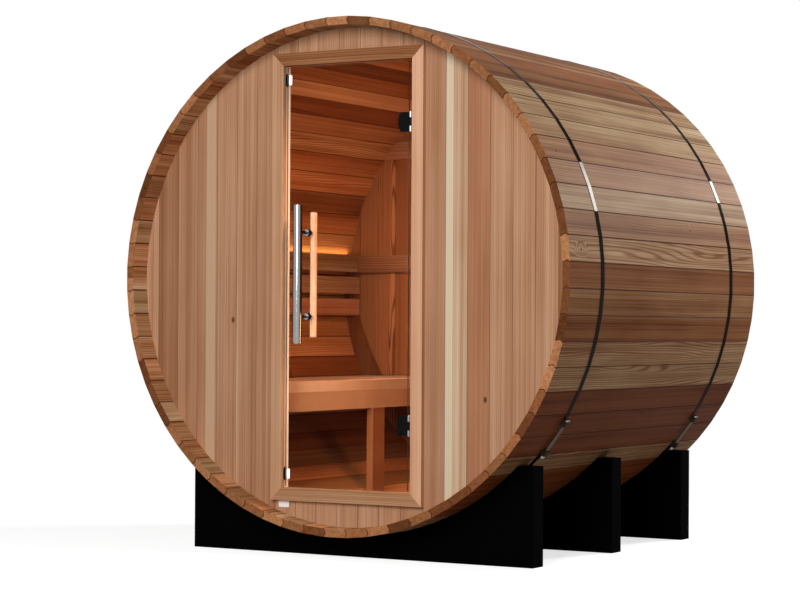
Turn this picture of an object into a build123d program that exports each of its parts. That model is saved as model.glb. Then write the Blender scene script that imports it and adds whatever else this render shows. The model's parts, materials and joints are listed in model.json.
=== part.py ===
from build123d import *
import os
from math import cos, degrees, pi, radians, sin, sqrt

os.makedirs("parts", exist_ok=True)

# A barrel sauna: a round room of cedar staves lying on three black cradles,
# held by two steel hoops, with a glass door in its front end wall.
# The frame: +Z up, the front end faces -Y, and the origin is on the ground
# under the middle of the barrel. All sizes are in millimetres.

# Barrel
barrel_diameter = 1830.0
barrel_length = 1630.0
ground_clearance = 80.0
stave_count = 64
stave_thickness = 29.0
stave_joint_gap = 0.4
stave_edge_chamfer = 1.2

# The bead along one edge of a stave, which fits the cove of the next one
bead_width = 17.0
bead_depth = 5.0
bead_offset = 2.5
bead_flats = 3

# End walls, seated in a groove cut in every stave
wall_recess = 84.0
wall_thickness = 28.0
groove_depth = 8.0
groove_clearance = 0.3

# Doorway, casing and jambs
doorway_width = 535.0
doorway_rise = 3.0
casing_width = 45.0
casing_corner_gap = 21.0
casing_thickness = 20.0
jamb_thickness = 20.0
seat_clearance = 0.3

# Glass door
glass_thickness = 8.0
glass_setback = 16.0
glass_gap_latch_side = 7.5
glass_gap_hinge_side = 21.0
glass_gap_ends = 7.0

# Hinges
hinge_knuckle_diameter = 12.0
hinge_pin_diameter = 6.0
hinge_pin_clearance = 0.05
hinge_height = 68.0
hinge_moving_share = 30.0
hinge_pivot_inset = 10.0
hinge_pivot_setback = 10.0
hinge_leaf_thickness = 2.0
hinge_leaf_depth = 38.0
hinge_clamp_width = 30.0
hinge_clamp_bulge = 10.0
hinge_plate_thickness = 6.0
hinge_knuckle_gap = 0.5
hinge_web_gap = 2.0
hinge_arm_overlap = 2.0
hinge_upper_height = 540.0
hinge_lower_height = -520.0

# Door handle: a steel bar outside and a wooden bar inside
handle_inset = 95.5
handle_rise = 10.0
handle_post_spacing = 300.0
pull_bar_diameter = 32.0
pull_bar_length = 495.0
pull_bar_standoff = 62.0
pull_bar_chamfer = 1.5
grip_diameter = 25.0
grip_length = 450.0
grip_standoff = 36.0
grip_chamfer = 3.0
post_diameter = 12.0
post_sides = 16
post_hole_clearance = 0.5
collar_diameter = 24.0
collar_thickness = 4.0

# Door catches
catch_height = 48.0
catch_depth = 22.0
catch_corner_cut = 8.0
catch_plate_thickness = 2.0
catch_nose_length = 15.0
catch_nose_height = 24.0
catch_nose_thickness = 5.0
catch_end_inset = 50.0
catch_running_gap = 5.5
strike_width = 12.0
strike_height = 35.0
strike_thickness = 1.5
strike_edge_inset = 2.0

# Hoops and their tensioners
hoop_width = 25.0
hoop_thickness = 1.2
hoop_front_distance = 248.0
hoop_rear_distance = 240.0
hoop_front_tensioner_angle = -37.0
hoop_rear_tensioner_angle = -38.5
tensioner_spread = 128.0
lug_length = 22.0
lug_height = 16.0
tension_rod_diameter = 7.0
tension_rod_spacing = 14.0

# Cradles
cradle_thickness = 76.0
cradle_grip = 265.0
cradle_shoulder = 60.5
cradle_inset = 148.0

# Bench
board_thickness = 28.0
board_width = 86.0
bench_depth = 520.0
bench_seat_height = 505.0
bench_slat_thickness = 38.0
bench_slat_count = 5
bench_slat_gap = 8.0
bench_apron_height = 70.0
bench_end_gap = 3.0

# Backrest
back_slat_height = 70.0
back_slat_gap = 22.0
back_slat_count = 3
back_slat_top_rise = 128.0
back_slat_inset = 55.0
rib_foot_step = 117.0
rib_bow = 8.0

# Rear wall rails
rail_height = 72.0
rail_thickness = 22.0
rail_upper_top = 606.0
rail_middle_top = 128.0

# Light strip
light_width = 12.0
light_height = 8.0

# Values worked out from the sizes above
outer_radius = barrel_diameter / 2
axis_height = outer_radius + ground_clearance
half_angle = pi / stave_count
outer_flat = outer_radius * cos(half_angle)
inner_flat = outer_flat - stave_thickness
fitting_radius = inner_flat - seat_clearance
wall_radius = inner_flat + groove_depth - groove_clearance
front_y = -barrel_length / 2
rear_y = barrel_length / 2
front_wall_y = front_y + wall_recess
front_wall_inner_y = front_wall_y + wall_thickness
rear_wall_y = rear_y - wall_recess
rear_wall_inner_y = rear_wall_y - wall_thickness
casing_face_y = front_wall_y - casing_thickness
doorway_half = doorway_width / 2
casing_outer_half = doorway_half + casing_width
casing_reach = sqrt((inner_flat - casing_corner_gap) ** 2 - casing_outer_half**2)
doorway_height = 2 * (casing_reach - casing_width - doorway_rise)
doorway_top = doorway_rise + doorway_height / 2
doorway_bottom = doorway_rise - doorway_height / 2
glass_front_y = casing_face_y + glass_setback
glass_back_y = glass_front_y + glass_thickness
glass_left = -doorway_half + glass_gap_latch_side
glass_right = doorway_half - glass_gap_hinge_side
glass_top = doorway_top - glass_gap_ends
glass_bottom = doorway_bottom + glass_gap_ends
pivot_x = doorway_half - hinge_pivot_inset
pivot_y = casing_face_y + hinge_pivot_setback
handle_x = -doorway_half + handle_inset


def facing_front(y):
    """An upright plane at y, seen from the front: its x is +X and its y is height above the axis."""
    return Plane(origin=(0, y, axis_height), x_dir=(1, 0, 0), z_dir=(0, -1, 0))


def level(z):
    """A level plane at a height above the barrel's axis."""
    return Plane.XY.offset(axis_height + z)


def span(left, right, bottom, top):
    """A rectangle in the open sketch, given by its four edges."""
    with Locations(((left + right) / 2, (bottom + top) / 2)):
        Rectangle(right - left, top - bottom)


def save(builder, name):
    """Label a finished piece and write its file."""
    builder.part.label = name
    export_step(builder.part, "parts/" + name + ".step")


# Staves: a bead on one edge and a cove on the other
def radial_point(angle, radius, side):
    """A point at a radius along a stave's edge line, set to one side of it."""
    return (radius * cos(angle) - side * sin(angle), radius * sin(angle) + side * cos(angle))


def flat_radius(flat, side):
    """The distance along an edge line at which it meets a flat face of the stave."""
    return (flat - side * sin(half_angle)) / cos(half_angle)


half_gap = stave_joint_gap / 2
edge_outer = flat_radius(outer_flat, half_gap)
edge_inner = flat_radius(inner_flat, half_gap)
outer_corner = radial_point(half_angle, edge_outer, -half_gap)[1] - stave_edge_chamfer
bead_centre = outer_flat - stave_thickness / 2 + bead_offset


def edge_line(angle, side):
    """One edge of a stave from its outer chamfer to its inner face, swelling by the bead's depth."""
    points = [radial_point(angle, edge_outer - stave_edge_chamfer, side)]
    for flat in range(bead_flats + 1):
        turn = pi * flat / bead_flats
        swell = bead_depth * sin(turn)
        points.append(radial_point(angle, bead_centre + bead_width / 2 * cos(turn), side + swell))
    points.append(radial_point(angle, edge_inner, side))
    return points


with BuildPart() as stave:
    with BuildSketch(Plane.XY):
        with BuildLine():
            Polyline(
                (outer_flat, -outer_corner),
                (outer_flat, outer_corner),
                *edge_line(half_angle, -half_gap),
                *reversed(edge_line(-half_angle, half_gap)),
                close=True,
            )
        make_face()
    extrude(amount=barrel_length)
    groove_centre = wall_recess + wall_thickness / 2
    with Locations((inner_flat, 0, groove_centre), (inner_flat, 0, barrel_length - groove_centre)):
        Box(
            2 * groove_depth,
            4 * outer_corner,
            wall_thickness + 2 * groove_clearance,
            mode=Mode.SUBTRACT,
        )

stave_pitch = 360 / stave_count
segment_names = [
    "staves_right",
    "staves_upper_right",
    "staves_top",
    "staves_upper_left",
    "staves_left",
    "staves_lower_left",
    "staves_bottom",
    "staves_lower_right",
]
segments = len(segment_names)
staves_below_axis = stave_count // segments // 2
for number, segment_name in enumerate(segment_names):
    first = number * stave_count // segments
    count = (number + 1) * stave_count // segments - first
    with BuildPart(facing_front(rear_y)) as segment:
        with PolarLocations(0, count, (first - staves_below_axis) * stave_pitch, count * stave_pitch):
            add(stave.part)
    save(segment, segment_name)

# End walls: their edges follow the floors of the staves' grooves
wall_opening_half = doorway_half + jamb_thickness
wall_opening_top = doorway_top + jamb_thickness
wall_opening_bottom = doorway_bottom - jamb_thickness


def follow_staves(apothem, mode=Mode.ADD):
    """A polygon in the open sketch with one side along each stave, at a distance from the axis."""
    RegularPolygon(apothem, stave_count, major_radius=False, rotation=stave_pitch / 2, mode=mode)


def wall_piece(name, back_y, left, right, bottom, top):
    """The part of a round end wall that lies inside one upright rectangle."""
    with BuildPart() as piece:
        with BuildSketch(facing_front(back_y)):
            span(left, right, bottom, top)
            follow_staves(wall_radius, mode=Mode.INTERSECT)
        extrude(amount=wall_thickness)
    save(piece, name)


def front_wall_piece(name, left, right, bottom, top):
    """One of the four pieces of the front end wall, beside, over or under the doorway."""
    wall_piece("front_wall_" + name, front_wall_inner_y, left, right, bottom, top)


front_wall_piece("left", -outer_radius, -wall_opening_half, -outer_radius, outer_radius)
front_wall_piece("right", wall_opening_half, outer_radius, -outer_radius, outer_radius)
front_wall_piece("over_door", -wall_opening_half, wall_opening_half, wall_opening_top, outer_radius)
front_wall_piece("under_door", -wall_opening_half, wall_opening_half, -outer_radius, wall_opening_bottom)
wall_piece("rear_wall", rear_wall_y, -outer_radius, outer_radius, -outer_radius, outer_radius)


# Jambs line the doorway and stand flush with both faces of the wall
def jamb_piece(name, left, right, bottom, top):
    """One lining board of the doorway."""
    with BuildPart() as piece:
        with BuildSketch(facing_front(front_wall_inner_y)):
            span(left, right, bottom, top)
        extrude(amount=wall_thickness)
    save(piece, name)


jamb_piece("jamb_left", -wall_opening_half, -doorway_half, doorway_bottom, doorway_top)
jamb_piece("jamb_right", doorway_half, wall_opening_half, doorway_bottom, doorway_top)
jamb_piece("jamb_head", -wall_opening_half, wall_opening_half, doorway_top, wall_opening_top)
jamb_piece("door_sill", -wall_opening_half, wall_opening_half, wall_opening_bottom, doorway_bottom)

# Casing: four mitred boards on the face of the wall
inner_corners = [
    (-doorway_half, doorway_bottom),
    (doorway_half, doorway_bottom),
    (doorway_half, doorway_top),
    (-doorway_half, doorway_top),
]
outer_corners = [
    (-casing_outer_half, doorway_bottom - casing_width),
    (casing_outer_half, doorway_bottom - casing_width),
    (casing_outer_half, doorway_top + casing_width),
    (-casing_outer_half, doorway_top + casing_width),
]
for side, casing_name in enumerate(["casing_bottom", "casing_right", "casing_top", "casing_left"]):
    following = (side + 1) % len(inner_corners)
    with BuildPart() as casing:
        with BuildSketch(facing_front(front_wall_y)):
            with BuildLine():
                Polyline(
                    outer_corners[side],
                    outer_corners[following],
                    inner_corners[following],
                    inner_corners[side],
                    close=True,
                )
            make_face()
        extrude(amount=casing_thickness)
    save(casing, casing_name)

# Door glass with two holes for the handle posts
post_heights = [handle_rise - handle_post_spacing / 2, handle_rise + handle_post_spacing / 2]
with BuildPart() as door_glass:
    with BuildSketch(facing_front(glass_back_y)):
        span(glass_left, glass_right, glass_bottom, glass_top)
        with Locations(*[(handle_x, height) for height in post_heights]):
            Circle(post_diameter / 2 + post_hole_clearance, mode=Mode.SUBTRACT)
    extrude(amount=glass_thickness)
save(door_glass, "door_glass")

# Hinges: a clamp on the glass, and a leaf on the jamb that carries the pin
knuckle_radius = hinge_knuckle_diameter / 2
clamp_left = glass_right - hinge_clamp_width
clamp_right = pivot_x - knuckle_radius - hinge_web_gap
clamp_front_y = glass_front_y - seat_clearance - hinge_plate_thickness
clamp_back_y = glass_back_y + seat_clearance + hinge_plate_thickness
leaf_face_x = doorway_half - seat_clearance
leaf_back_y = pivot_y - knuckle_radius
fixed_share = (hinge_height - hinge_moving_share) / 2 - hinge_knuckle_gap


def glass_clamp(name, height):
    """Two plates and a web round the edge of the glass, with the middle knuckle."""
    lowest = height - hinge_height / 2
    highest = height + hinge_height / 2
    with BuildPart() as clamp:
        with BuildSketch(facing_front(clamp_back_y)):
            with BuildLine():
                Polyline(
                    (clamp_left, highest),
                    (clamp_right, highest),
                    (clamp_right, lowest),
                    (clamp_left, lowest),
                )
                ThreePointArc(
                    (clamp_left, lowest),
                    (clamp_left - hinge_clamp_bulge, height),
                    (clamp_left, highest),
                )
            make_face()
        extrude(amount=clamp_back_y - clamp_front_y)
        with BuildSketch(facing_front(glass_back_y + seat_clearance)):
            span(handle_x, glass_right + seat_clearance, lowest - hinge_height, highest + hinge_height)
        extrude(amount=glass_thickness + 2 * seat_clearance, mode=Mode.SUBTRACT)
        with BuildSketch(level(height - hinge_moving_share / 2)):
            span(clamp_right - hinge_arm_overlap, pivot_x, pivot_y, pivot_y + knuckle_radius)
            with Locations((pivot_x, pivot_y)):
                Circle(knuckle_radius)
                Circle(hinge_pin_diameter / 2 + hinge_pin_clearance, mode=Mode.SUBTRACT)
        extrude(amount=hinge_moving_share)
    save(clamp, name)


def jamb_leaf(name, height):
    """A leaf flat on the jamb, its two outer knuckles and the pin through them."""
    lowest = height - hinge_height / 2
    highest = height + hinge_height / 2
    leaf_left = leaf_face_x - hinge_leaf_thickness
    with BuildPart() as leaf:
        with BuildSketch(level(lowest)):
            span(leaf_left, leaf_face_x, leaf_back_y, leaf_back_y + hinge_leaf_depth)
            with Locations((pivot_x, pivot_y)):
                Circle(hinge_pin_diameter / 2)
        extrude(amount=hinge_height)
        for foot in (lowest, highest - fixed_share):
            with BuildSketch(level(foot)):
                with Locations((pivot_x, pivot_y)):
                    Circle(knuckle_radius)
                span(pivot_x, leaf_face_x, pivot_y - knuckle_radius / 2, pivot_y + knuckle_radius / 2)
            extrude(amount=fixed_share)
    save(leaf, name)


for place, height in (("upper", hinge_upper_height), ("lower", hinge_lower_height)):
    glass_clamp("door_hinge_clamp_" + place, height)
    jamb_leaf("jamb_hinge_leaf_" + place, height)

# Handle
pull_bar_y = glass_front_y - pull_bar_standoff
grip_y = glass_back_y + grip_standoff


def round_bar(name, centre_y, diameter, length, end_chamfer):
    """An upright bar at the handle's place, with its two ends chamfered."""
    with BuildPart() as bar:
        with BuildSketch(level(handle_rise - length / 2)):
            with Locations((handle_x, centre_y)):
                Circle(diameter / 2)
        extrude(amount=length)
        chamfer(bar.edges().filter_by(GeomType.CIRCLE), end_chamfer)
    save(bar, name)


round_bar("door_pull_bar", pull_bar_y, pull_bar_diameter, pull_bar_length, pull_bar_chamfer)
round_bar("door_inner_grip", grip_y, grip_diameter, grip_length, grip_chamfer)

collar_back_faces = (glass_front_y - seat_clearance, glass_back_y + seat_clearance + collar_thickness)
with BuildPart() as posts:
    for height in post_heights:
        with BuildSketch(facing_front(grip_y)):
            with Locations((handle_x, height)):
                RegularPolygon(post_diameter / 2, post_sides)
        extrude(amount=grip_y - pull_bar_y)
        for collar_y in collar_back_faces:
            with BuildSketch(facing_front(collar_y)):
                with Locations((handle_x, height)):
                    RegularPolygon(collar_diameter / 2, post_sides)
            extrude(amount=collar_thickness)
    for centre_y, diameter in ((pull_bar_y, pull_bar_diameter), (grip_y, grip_diameter)):
        with BuildSketch(level(handle_rise - pull_bar_length / 2)):
            with Locations((handle_x, centre_y)):
                Circle(diameter / 2 + seat_clearance)
        extrude(amount=pull_bar_length, mode=Mode.SUBTRACT)
save(posts, "door_handle_posts")

# Catches on the left jamb, and their strike plates on the glass
catch_heights = {"upper": doorway_top - catch_end_inset, "lower": doorway_bottom + catch_end_inset}
strike_back_y = glass_back_y + seat_clearance + strike_thickness
catch_plate_left = -doorway_half + seat_clearance
catch_back_y = strike_back_y + catch_running_gap + catch_nose_thickness
for place, height in catch_heights.items():
    with BuildPart() as catch:
        with BuildSketch(Plane.YZ.offset(catch_plate_left)):
            with Locations((catch_back_y - catch_depth / 2, axis_height + height)):
                catch_plate = Rectangle(catch_depth, catch_height)
            chamfer(catch_plate.vertices(), catch_corner_cut)
        extrude(amount=catch_plate_thickness)
        with BuildSketch(facing_front(catch_back_y)):
            with Locations((catch_plate_left + catch_nose_length / 2, height)):
                Rectangle(catch_nose_length, catch_nose_height)
        extrude(amount=catch_nose_thickness)
    save(catch, "jamb_catch_" + place)

strike_x = glass_left + strike_edge_inset + strike_width / 2
with BuildPart() as strikes:
    with BuildSketch(facing_front(strike_back_y)):
        with Locations(*[(strike_x, height) for height in catch_heights.values()]):
            Rectangle(strike_width, strike_height)
    extrude(amount=strike_thickness)
save(strikes, "door_strike_plates")

# Hoops and tensioners: the band lies flat on every stave and bends at their joints
band_inner = outer_flat + seat_clearance
band_outer = band_inner + hoop_thickness
half_spread = tensioner_spread / 2
lug_near = half_spread - lug_length / 2
lug_far = half_spread + lug_length / 2
lug_foot = sqrt(band_inner**2 - lug_far**2)
lug_top = band_outer + lug_height
band_gap = degrees(lug_near / band_outer)


def hoop(place, middle_y, angle):
    """A flat steel band with a gap, and the two lugs and rods that draw it tight."""
    with BuildPart() as band:
        with BuildSketch(facing_front(middle_y + hoop_width / 2)):
            follow_staves(band_outer)
            follow_staves(band_inner, mode=Mode.SUBTRACT)
            with BuildLine():
                start = radians(angle - band_gap)
                end = radians(angle + band_gap)
                Polyline(
                    (0, 0),
                    (barrel_diameter * cos(start), barrel_diameter * sin(start)),
                    (barrel_diameter * cos(end), barrel_diameter * sin(end)),
                    close=True,
                )
            make_face(mode=Mode.SUBTRACT)
        extrude(amount=hoop_width)
    save(band, "hoop_" + place)

    along = Vector(-sin(radians(angle)), 0, cos(radians(angle)))
    outward = Vector(cos(radians(angle)), 0, sin(radians(angle)))
    axis_point = Vector(0, middle_y, axis_height)
    with BuildPart(Plane(origin=axis_point, x_dir=along, z_dir=outward)) as tensioner:
        lug_middle = (lug_foot + lug_top) / 2
        with Locations((-half_spread, 0, lug_middle), (half_spread, 0, lug_middle)):
            Box(lug_length, hoop_width, lug_top - lug_foot)
        with BuildSketch(facing_front(middle_y + hoop_width)):
            follow_staves(band_outer + seat_clearance)
        extrude(amount=2 * hoop_width, mode=Mode.SUBTRACT)
        rod_radius = band_outer + lug_height / 2
        rod_side = tension_rod_spacing / 2
        with Locations((0, -rod_side, rod_radius), (0, rod_side, rod_radius)):
            Cylinder(tension_rod_diameter / 2, tensioner_spread, rotation=(0, 90, 0))
    save(tensioner, "tensioner_" + place)


hoop("front", front_y + hoop_front_distance, hoop_front_tensioner_angle)
hoop("rear", rear_y - hoop_rear_distance, hoop_rear_tensioner_angle)

# Cradles: boards on edge with the barrel's arc cut in their tops
saddle_radius = outer_radius + seat_clearance
cradle_top = ground_clearance + cradle_grip - axis_height
cradle_half_width = sqrt(saddle_radius**2 - cradle_top**2) + cradle_shoulder
cradle_front_faces = {
    "front": front_y + cradle_inset,
    "middle": -cradle_thickness / 2,
    "rear": rear_y - cradle_inset - cradle_thickness,
}
for place, face_y in cradle_front_faces.items():
    with BuildPart() as cradle:
        with BuildSketch(facing_front(face_y + cradle_thickness)):
            span(-cradle_half_width, cradle_half_width, -axis_height, cradle_top)
            Circle(saddle_radius, mode=Mode.SUBTRACT)
        extrude(amount=cradle_thickness)
    save(cradle, "cradle_" + place)

# Bench along the left wall
bench_from_y = front_wall_inner_y + bench_end_gap
bench_to_y = rear_wall_inner_y - bench_end_gap
bench_length = bench_to_y - bench_from_y
bench_top = bench_seat_height - inner_flat
slats_underside = bench_top - bench_slat_thickness
back_slat_face = back_slat_inset - inner_flat
bench_front = back_slat_face + bench_depth
with BuildPart() as bench_slats:
    with BuildSketch(facing_front(bench_to_y)):
        for number in range(bench_slat_count):
            slat_right = bench_front - number * (board_width + bench_slat_gap)
            span(slat_right - board_width, slat_right, slats_underside, bench_top)
        Circle(fitting_radius, mode=Mode.INTERSECT)
    extrude(amount=bench_length)
save(bench_slats, "bench_slats")

apron_back = bench_front - board_thickness
apron_top = slats_underside - seat_clearance
apron_bottom = apron_top - bench_apron_height
with BuildPart() as bench_apron:
    with BuildSketch(facing_front(bench_to_y)):
        span(apron_back, bench_front, apron_bottom, apron_top)
    extrude(amount=bench_length)
save(bench_apron, "bench_apron")

# Each bearer runs from the apron to the staves, and a leg stands under the middle one
bearer_front_faces = [bench_from_y, -board_thickness / 2, bench_to_y - board_thickness]
with BuildPart() as bearers:
    for face_y in bearer_front_faces:
        with BuildSketch(facing_front(face_y + board_thickness)):
            span(-outer_radius, apron_back - seat_clearance, apron_bottom, apron_top)
            Circle(fitting_radius, mode=Mode.INTERSECT)
        extrude(amount=board_thickness)
save(bearers, "bench_bearers")

with BuildPart() as bench_leg:
    with BuildSketch(facing_front(board_width / 2)):
        span(apron_back, bench_front, -outer_radius, apron_bottom - seat_clearance)
        Circle(fitting_radius, mode=Mode.INTERSECT)
    extrude(amount=board_width)
save(bench_leg, "bench_leg")

# Backrest: level slats on curved ribs that follow the staves
back_slat_pitch = back_slat_height + back_slat_gap
back_slats_bottom = back_slat_top_rise - back_slat_count * back_slat_pitch + back_slat_gap
with BuildPart() as back_slats:
    with BuildSketch(facing_front(bench_to_y)):
        for number in range(back_slat_count):
            slat_top = back_slat_top_rise - number * back_slat_pitch
            span(back_slat_face - board_thickness, back_slat_face, slat_top - back_slat_height, slat_top)
    extrude(amount=bench_length)
save(back_slats, "backrest_slats")

rib_front = back_slat_face - board_thickness - seat_clearance
rib_step = back_slats_bottom - seat_clearance
rib_foot = bench_top + seat_clearance
rib_foot_front = back_slat_face + rib_foot_step
with BuildPart() as ribs:
    for face_y in bearer_front_faces:
        with BuildSketch(facing_front(face_y + board_thickness)):
            with BuildLine():
                Polyline(
                    (back_slat_face, rib_step),
                    (rib_front, rib_step),
                    (rib_front, back_slat_top_rise),
                    (-outer_radius, back_slat_top_rise),
                    (-outer_radius, rib_foot),
                    (rib_foot_front, rib_foot),
                )
                ThreePointArc(
                    (rib_foot_front, rib_foot),
                    ((rib_foot_front + back_slat_face) / 2 - rib_bow, (rib_foot + rib_step) / 2),
                    (back_slat_face, rib_step),
                )
            make_face()
            Circle(fitting_radius, mode=Mode.INTERSECT)
        extrude(amount=board_thickness)
save(ribs, "backrest_ribs")


# Rails across the inside of the rear wall: the middle one starts at the backrest
def wall_rail(name, left, top):
    """A level board from a place on the left to the staves on the right."""
    with BuildPart() as rail:
        with BuildSketch(facing_front(rear_wall_inner_y - seat_clearance)):
            span(left, outer_radius, top - rail_height, top)
            Circle(fitting_radius, mode=Mode.INTERSECT)
        extrude(amount=rail_thickness)
    save(rail, name)


wall_rail("rear_wall_rail_upper", -outer_radius, rail_upper_top)
wall_rail("rear_wall_rail_middle", back_slat_face + seat_clearance, rail_middle_top)

# Light strip behind the top slat, in the two bays between the ribs
with BuildPart() as light_strip:
    for near_rib_y, far_rib_y in zip(bearer_front_faces, bearer_front_faces[1:]):
        with BuildSketch(facing_front(far_rib_y - seat_clearance)):
            span(
                rib_front - light_width,
                rib_front,
                back_slat_top_rise - light_height,
                back_slat_top_rise,
            )
        extrude(amount=far_rib_y - near_rib_y - board_thickness - 2 * seat_clearance)
save(light_strip, "light_strip")
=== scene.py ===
import json
from math import cos, pi, radians, sin, sqrt

import bmesh
import bpy
from mathutils import Matrix, Vector


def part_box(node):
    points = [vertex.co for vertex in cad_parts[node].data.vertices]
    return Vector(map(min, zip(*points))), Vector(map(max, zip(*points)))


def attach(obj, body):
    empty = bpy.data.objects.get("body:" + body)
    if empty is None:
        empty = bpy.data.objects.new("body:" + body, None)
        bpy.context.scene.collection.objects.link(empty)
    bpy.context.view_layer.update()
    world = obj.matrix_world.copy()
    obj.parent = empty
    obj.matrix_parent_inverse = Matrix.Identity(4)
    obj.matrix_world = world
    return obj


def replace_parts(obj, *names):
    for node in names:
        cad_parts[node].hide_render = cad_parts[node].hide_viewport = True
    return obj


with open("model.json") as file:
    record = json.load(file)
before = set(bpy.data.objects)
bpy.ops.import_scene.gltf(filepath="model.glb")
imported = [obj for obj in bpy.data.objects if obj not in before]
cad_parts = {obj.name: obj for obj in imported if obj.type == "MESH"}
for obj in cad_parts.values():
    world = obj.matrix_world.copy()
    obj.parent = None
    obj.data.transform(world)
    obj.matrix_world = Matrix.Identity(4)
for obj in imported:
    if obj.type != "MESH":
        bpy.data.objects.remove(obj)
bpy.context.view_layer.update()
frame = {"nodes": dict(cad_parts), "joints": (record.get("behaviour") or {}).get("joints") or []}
nodes = frame["nodes"]

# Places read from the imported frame, and sizes of the staves and boards, in metres
wall_low, wall_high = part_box("rear_wall")
AXIS_Z = (wall_low.z + wall_high.z) / 2
WALL_EDGE_GAP = 0.0005
WALL_RADIUS = (wall_high.x - wall_low.x) / 2 - WALL_EDGE_GAP
OUTER_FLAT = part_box("staves_top")[1].z - AXIS_Z
STAVE_COUNT = 64
STAVE_PITCH = 2 * pi / STAVE_COUNT
STAVE_THICKNESS = 0.029
INNER_FLAT = OUTER_FLAT - STAVE_THICKNESS
BEAD_WIDTH = 0.017
BEAD_DEPTH = 0.005
BEAD_OFFSET = 0.0025
BEAD_RADIUS = OUTER_FLAT - STAVE_THICKNESS / 2 + BEAD_OFFSET
BOARD_PITCH = 0.0873
ROOM_HALF_LENGTH = 0.7
WALL_INNER_LIMIT = 0.71
INSIDE_FADE_START = 0.002
INSIDE_FADE_END = 0.006


# Colours, written as they look on the screen
def linear(red, green, blue):
    """A colour given on the 0 to 255 scale, as the linear values that a shader takes."""
    values = []
    for part in (red, green, blue):
        share = part / 255
        values.append(share / 12.92 if share <= 0.04045 else ((share + 0.055) / 1.055) ** 2.4)
    return (*values, 1.0)


CEDAR_TONES = (
    (0.00, linear(92, 52, 34)),
    (0.20, linear(140, 92, 64)),
    (0.38, linear(170, 121, 91)),
    (0.50, linear(184, 137, 107)),
    (0.66, linear(198, 154, 124)),
    (0.84, linear(212, 176, 147)),
    (1.00, linear(228, 202, 176)),
)
TAN_TINT = (0.88, 1.1, 1.08, 1)
RED_TINT = (1.14, 0.87, 0.72, 1)
# Painted shade and warm painted glow for faces inside the room
PAINTED_ROOM_GLOW_TINT = (0.85, 0.64, 0.46, 1)
NO_TINT = (1.0, 1.0, 1.0, 1.0)
CREAM = linear(208, 176, 146)
END_SHADE = linear(150, 98, 64)
JOINT_SHADE = linear(84, 38, 20)
KNOT_SHADE = linear(78, 40, 25)


# Detail and roughness of noise
SOFT = (2.0, 0.5)
CRISP = (3.0, 0.6)


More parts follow.
